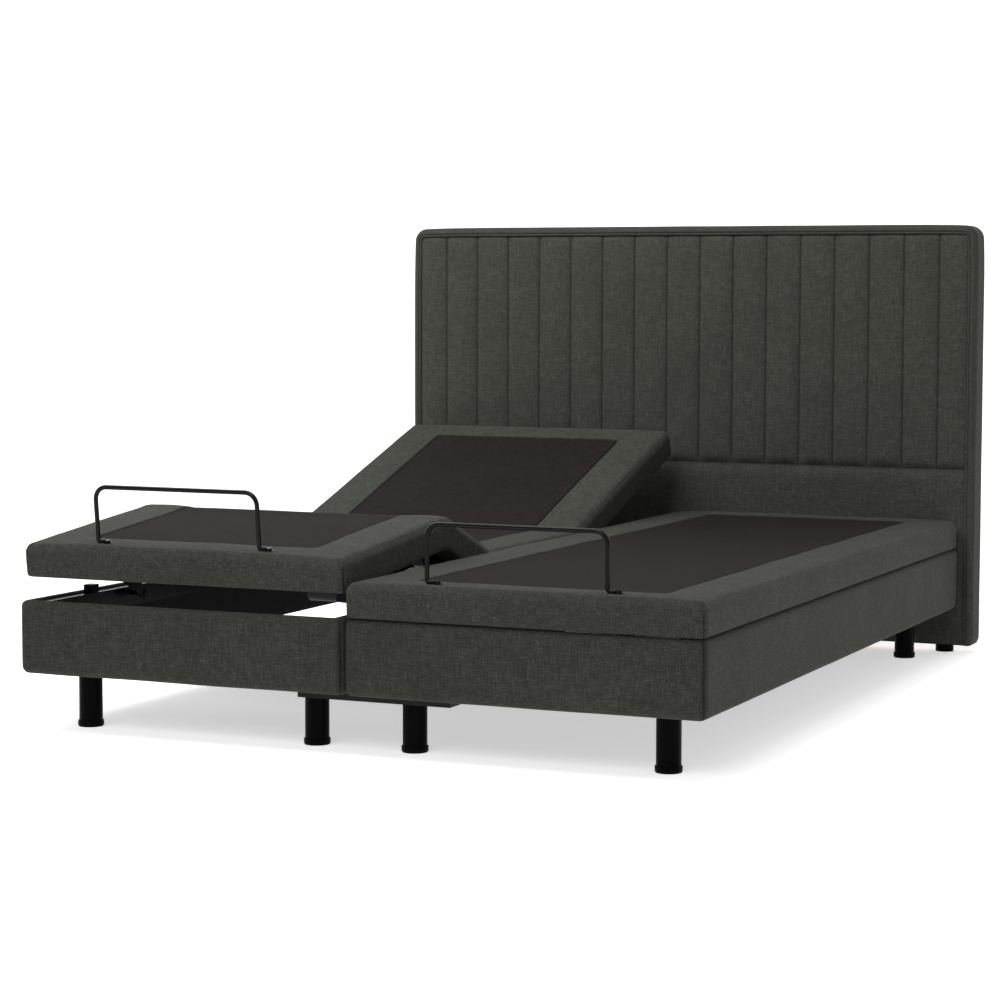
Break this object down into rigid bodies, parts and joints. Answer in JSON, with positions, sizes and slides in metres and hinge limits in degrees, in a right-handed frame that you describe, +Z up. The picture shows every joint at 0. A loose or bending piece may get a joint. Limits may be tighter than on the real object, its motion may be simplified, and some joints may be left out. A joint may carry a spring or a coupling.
{
  "type": "adjustable bed base",
  "caption": "Twin adjustable bed base: two powered single units side by side with lifting back and leg sections, upholstered rails and a shared channelled headboard.",
  "frame": {"origin": "on the floor, in the middle of the whole outline", "axes": "+X to the right seen from the foot end, +Y towards the headboard, +Z up"},
  "size_m": [1.674, 2.13, 1.156],
  "materials": {
    "timber": "sawn board",
    "backing": "black backing cloth",
    "headboard_fabric": "heathered linen weave",
    "base_fabric": "heathered linen weave",
    "section_fabric": "heathered linen weave",
    "field_fabric": "non-slip weave",
    "leg_paint": "satin black",
    "black_plastic": "matte black",
    "drive_plastic": "matte black",
    "bright_steel": "zinc plated",
    "bar_paint": "gloss black",
    "frame_paint": "gloss black"
  },
  "bodies": {
    "base": {"headboard_core": "timber", "headboard_back": "backing", "headboard_channel_pad": "headboard_fabric", "headboard_lower_pad": "headboard_fabric", "headboard_border": "headboard_fabric", "headboard_feet": "leg_paint", "headboard_brackets": "frame_paint", "unit_connectors": "frame_paint", "legs": "leg_paint", "leg_caps": "black_plastic", "rest_posts": "black_plastic", "control_boxes": "black_plastic", "hinge_pins": "frame_paint", "left_end_rails": "base_fabric", "left_side_rails": "base_fabric", "left_main_tubes": "frame_paint", "left_crossbars": "frame_paint", "left_leg_posts": "frame_paint", "left_seat_deck": "section_fabric", "left_seat_panel": "field_fabric", "right_end_rails": "base_fabric", "right_side_rails": "base_fabric", "right_main_tubes": "frame_paint", "right_crossbars": "frame_paint", "right_leg_posts": "frame_paint", "right_seat_deck": "section_fabric", "right_seat_panel": "field_fabric"},
    "left_head": {"left_head_deck": "section_fabric", "left_head_panel": "field_fabric", "left_head_frame": "frame_paint"},
    "left_thigh": {"left_thigh_deck": "section_fabric", "left_thigh_panel": "field_fabric", "left_thigh_frame": "frame_paint"},
    "left_foot": {"left_foot_deck": "section_fabric", "left_foot_panel": "field_fabric", "left_foot_frame": "frame_paint", "left_retainer_bar": "bar_paint", "left_bar_bolts": "bar_paint"},
    "left_links": {"left_foot_links": "frame_paint"},
    "left_head_motor": {"left_head_motor": "drive_plastic"},
    "left_head_rod": {"left_head_rod": "bright_steel"},
    "left_leg_motor": {"left_leg_motor": "drive_plastic"},
    "left_leg_rod": {"left_leg_rod": "bright_steel"},
    "right_head": {"right_head_deck": "section_fabric", "right_head_panel": "field_fabric", "right_head_frame": "frame_paint"},
    "right_thigh": {"right_thigh_deck": "section_fabric", "right_thigh_panel": "field_fabric", "right_thigh_frame": "frame_paint"},
    "right_foot": {"right_foot_deck": "section_fabric", "right_foot_panel": "field_fabric", "right_foot_frame": "frame_paint", "right_retainer_bar": "bar_paint", "right_bar_bolts": "bar_paint"},
    "right_links": {"right_foot_links": "frame_paint"},
    "right_head_motor": {"right_head_motor": "drive_plastic"},
    "right_head_rod": {"right_head_rod": "bright_steel"},
    "right_leg_motor": {"right_leg_motor": "drive_plastic"},
    "right_leg_rod": {"right_leg_rod": "bright_steel"}
  },
  "joints": [
    {"name": "left_head_lift", "type": "hinge", "parent": "base", "child": "left_head", "pos_m": [-0.4, 0.221, 0.266], "axis": [1, 0, 0], "range_deg": [-18.5, 41.5]},
    {"name": "left_thigh_lift", "type": "hinge", "parent": "base", "child": "left_thigh", "pos_m": [-0.4, -0.315, 0.266], "axis": [-1, 0, 0], "range_deg": [-22.1, 9.9]},
    {"name": "left_knee_fold", "type": "hinge", "parent": "left_thigh", "child": "left_foot", "pos_m": [-0.4, -0.55312, 0.36269], "axis": [1, 0, 0], "range_deg": [-28.05, 12.67]},
    {"name": "left_link_swing", "type": "hinge", "parent": "base", "child": "left_links", "pos_m": [-0.4, -0.677, 0.264], "axis": [-1, 0, 0], "range_deg": [-30.48, 13.76]},
    {"name": "left_head_motor_tilt", "type": "hinge", "parent": "base", "child": "left_head_motor", "pos_m": [-0.31, -0.12, 0.225], "axis": [1, 0, 0], "range_deg": [-2.28, 5]},
    {"name": "left_head_rod_slide", "type": "slide", "parent": "left_head_motor", "child": "left_head_rod", "axis": [0, 0.9836, -0.1805], "range_m": [-0.0323, 0.07184]},
    {"name": "left_leg_motor_tilt", "type": "hinge", "parent": "base", "child": "left_leg_motor", "pos_m": [-0.49, 0.005, 0.221], "axis": [-1, 0, 0], "range_deg": [-2.07, 0.98]},
    {"name": "left_leg_rod_slide", "type": "slide", "parent": "left_leg_motor", "child": "left_leg_rod", "axis": [0, -0.985, -0.1725], "range_m": [-0.04054, 0.01844]},
    {"name": "right_head_lift", "type": "hinge", "parent": "base", "child": "right_head", "pos_m": [0.4, 0.221, 0.266], "axis": [1, 0, 0], "range_deg": [0, 60]},
    {"name": "right_thigh_lift", "type": "hinge", "parent": "base", "child": "right_thigh", "pos_m": [0.4, -0.315, 0.266], "axis": [-1, 0, 0], "range_deg": [0, 32]},
    {"name": "right_knee_fold", "type": "hinge", "parent": "right_thigh", "child": "right_foot", "pos_m": [0.4, -0.572, 0.266], "axis": [1, 0, 0], "range_deg": [-0.2, 40.52]},
    {"name": "right_link_swing", "type": "hinge", "parent": "base", "child": "right_links", "pos_m": [0.4, -0.677, 0.264], "axis": [-1, 0, 0], "range_deg": [-0.2, 44.04]},
    {"name": "right_head_motor_tilt", "type": "hinge", "parent": "base", "child": "right_head_motor", "pos_m": [0.49, -0.12, 0.225], "axis": [1, 0, 0], "range_deg": [-0.1, 7.18]},
    {"name": "right_head_rod_slide", "type": "slide", "parent": "right_head_motor", "child": "right_head_rod", "axis": [0, 0.976, -0.2178], "range_m": [-0.0005, 0.10365]},
    {"name": "right_leg_motor_tilt", "type": "hinge", "parent": "base", "child": "right_leg_motor", "pos_m": [0.31, 0.005, 0.221], "axis": [-1, 0, 0], "range_deg": [-0.1, 2.95]},
    {"name": "right_leg_rod_slide", "type": "slide", "parent": "right_leg_motor", "child": "right_leg_rod", "axis": [0, -0.9785, -0.2062], "range_m": [-0.0005, 0.05847]}
  ],
  "couplings": [
    {"joint": "left_knee_fold", "follows": "left_thigh_lift", "ratio": 1.26},
    {"joint": "left_link_swing", "follows": "left_thigh_lift", "ratio": 1.37},
    {"joint": "left_head_motor_tilt", "follows": "left_head_lift", "ratio": 0.118},
    {"joint": "left_head_rod_slide", "follows": "left_head_lift", "m_per_rad": 0.0985},
    {"joint": "left_leg_motor_tilt", "follows": "left_thigh_lift", "ratio": 0.089},
    {"joint": "left_leg_rod_slide", "follows": "left_thigh_lift", "m_per_rad": 0.1038},
    {"joint": "right_knee_fold", "follows": "right_thigh_lift", "ratio": 1.26},
    {"joint": "right_link_swing", "follows": "right_thigh_lift", "ratio": 1.37},
    {"joint": "right_head_motor_tilt", "follows": "right_head_lift", "ratio": 0.118},
    {"joint": "right_head_rod_slide", "follows": "right_head_lift", "m_per_rad": 0.0985},
    {"joint": "right_leg_motor_tilt", "follows": "right_thigh_lift", "ratio": 0.089},
    {"joint": "right_leg_rod_slide", "follows": "right_thigh_lift", "m_per_rad": 0.1038}
  ]
}
